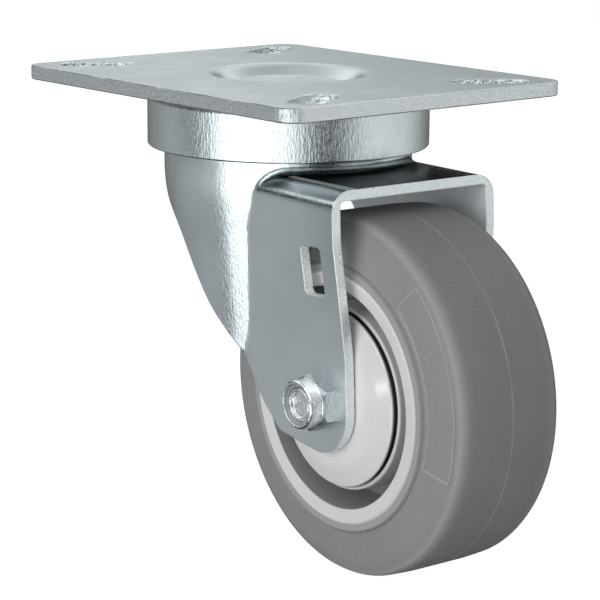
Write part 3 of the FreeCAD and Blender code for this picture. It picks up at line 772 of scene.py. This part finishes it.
def bead(path, outward, half_width, height, closed):
    """Points and faces of a bead on a surface.

    Across the path, u runs from -1 to 1 and the bead stands h(u) = height cos^2(pi u / 2) above the
    surface. Its underside lies a little below the surface, which closes the section.
    """
    ahead = np.roll(path, -1, 0) - np.roll(path, 1, 0)
    if not closed:
        ahead[0] = path[1] - path[0]
        ahead[-1] = path[-1] - path[-2]
    ahead /= np.linalg.norm(ahead, axis=1)[:, None]
    aside = np.cross(outward, ahead)
    aside /= np.linalg.norm(aside, axis=1)[:, None]
    u = np.linspace(-1.0, 1.0, BEAD_STEPS + 1)
    lift = height * np.cos(math.pi * u / 2) ** 2
    section = [(a * half_width, h) for a, h in zip(u, lift)]
    section += [(half_width * BEAD_FOOT, -BEAD_SUNK), (-half_width * BEAD_FOOT, -BEAD_SUNK)]
    rows = np.stack([path + aside * a + outward * h for a, h in section], 1)
    count, ring = rows.shape[:2]
    points = rows.reshape(-1, 3)
    faces = []
    for i in range(count if closed else count - 1):
        j = (i + 1) % count
        for k in range(ring):
            m = (k + 1) % ring
            faces.append((i * ring + k, i * ring + m, j * ring + m, j * ring + k))
    if not closed:
        faces.append(tuple(range(ring))[::-1])
        faces.append(tuple((count - 1) * ring + k for k in range(ring)))
    return points, outward_faces(points, faces)


def outward_faces(points, faces):
    """The same faces, turned round if they enclose a negative volume."""
    volume = 0.0
    for face in faces:
        for k in range(1, len(face) - 1):
            a, b, c = points[face[0]], points[face[k]], points[face[k + 1]]
            volume += np.dot(a, np.cross(b, c))
    return [face[::-1] for face in faces] if volume < 0 else faces


print("a bead has", BEAD_STEPS + 3, "points to a section")

# %% [markdown]
# The blank panels on the tyre
# Each side wall carries a thin raised frame between two arcs and two radial lines, which stays empty. The
# frame's path lies in polar coordinates on the side wall, whose depth at each radius is read from the
# tyre itself.

# %% Side wall frames
FRAME_INNER_RADIUS = 0.0394
FRAME_OUTER_RADIUS = 0.0476
FRAME_START = math.radians(-16.6)
FRAME_END = math.radians(49.0)
FRAME_HALF_WIDTH = 0.00040
FRAME_RISE = 0.00040
ARC_POINTS = 130
RADIAL_POINTS = 24
WALL_ALONG = 0.0155
WALL_INNER_RADIUS = 0.0382
WALL_OUTER_RADIUS = 0.0497
SLOPE_STEP = 0.0002

tyre = np.empty(len(nodes["tread"].data.vertices) * 3)
nodes["tread"].data.vertices.foreach_get("co", tyre)
tyre = tyre.reshape(-1, 3) - WHEEL_CENTRE
tyre_along = tyre @ AXLE
tyre_radius = np.hypot(tyre @ FORWARD, tyre @ UP)
on_wall = (tyre_along > WALL_ALONG) & (tyre_radius > WALL_INNER_RADIUS) & (tyre_radius < WALL_OUTER_RADIUS)
wall_radius, first = np.unique(np.round(tyre_radius[on_wall], 6), return_index=True)
wall_along = tyre_along[on_wall][first]


def frame_path():
    """Angle and radius round the frame, with its corners softened by a short running mean."""
    arc = np.linspace(FRAME_START, FRAME_END, ARC_POINTS)
    step = np.linspace(FRAME_INNER_RADIUS, FRAME_OUTER_RADIUS, RADIAL_POINTS)[1:-1]
    angle = np.concatenate([arc, np.full(len(step), FRAME_END), arc[::-1], np.full(len(step), FRAME_START)])
    radius = np.concatenate([np.full(ARC_POINTS, FRAME_INNER_RADIUS), step,
                             np.full(ARC_POINTS, FRAME_OUTER_RADIUS), step[::-1]])
    return [sum(np.roll(values, shift) for shift in (-1, 0, 1)) / 3 for values in (angle, radius)]


def side_frame(name, side):
    """A raised frame on the side wall: side is 1 for the far wall and -1 for the near one.

    The wall's normal at radius r is side * axle - (d along / d r) * outwards, made one long.
    """
    angle, radius = frame_path()
    along = np.interp(radius, wall_radius, wall_along)
    slope = (np.interp(radius + SLOPE_STEP, wall_radius, wall_along) - along) / SLOPE_STEP
    outwards = np.cos(angle)[:, None] * FORWARD + np.sin(angle)[:, None] * UP
    path = WHEEL_CENTRE + outwards * radius[:, None] + side * along[:, None] * AXLE
    normal = side * AXLE - slope[:, None] * outwards
    normal /= np.linalg.norm(normal, axis=1)[:, None]
    points, faces = bead(path, normal, FRAME_HALF_WIDTH, FRAME_RISE, True)
    add_piece(name, points, faces, "tread_raised_painted_light", "wheel")


side_frame("side_frame_near", -1)
side_frame("side_frame_far", 1)

# %% [markdown]
# The kingpin's thread
# Below the nut, the end of the pin shows its last turns of thread. A thread is a bead on a helix: the
# height falls by one pitch for each turn.

# %% Kingpin thread
PITCH = 0.00127
PIN_RADIUS = 0.00635
THREAD_HALF_WIDTH = PITCH * 0.42
THREAD_RISE = 0.00035
THREAD_POINTS = 90
UNDER_NUT = 0.0002
ABOVE_END = 0.0012

pin_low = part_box("kingpin")[0]
nut_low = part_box("kingpin_nut")[0]
top = nut_low[2] - UNDER_NUT
bottom = pin_low[2] + ABOVE_END
turns = (top - bottom) / PITCH
angle = np.linspace(0.0, 2 * math.pi * turns, THREAD_POINTS)
around = np.stack([np.cos(angle), np.sin(angle), np.zeros(THREAD_POINTS)], 1)
helix = around * PIN_RADIUS + UP * (top - PITCH * angle / (2 * math.pi))[:, None]
points, faces = bead(helix, around, THREAD_HALF_WIDTH, THREAD_RISE, False)
add_piece("kingpin_thread", points, faces, "bright_steel", "plate")
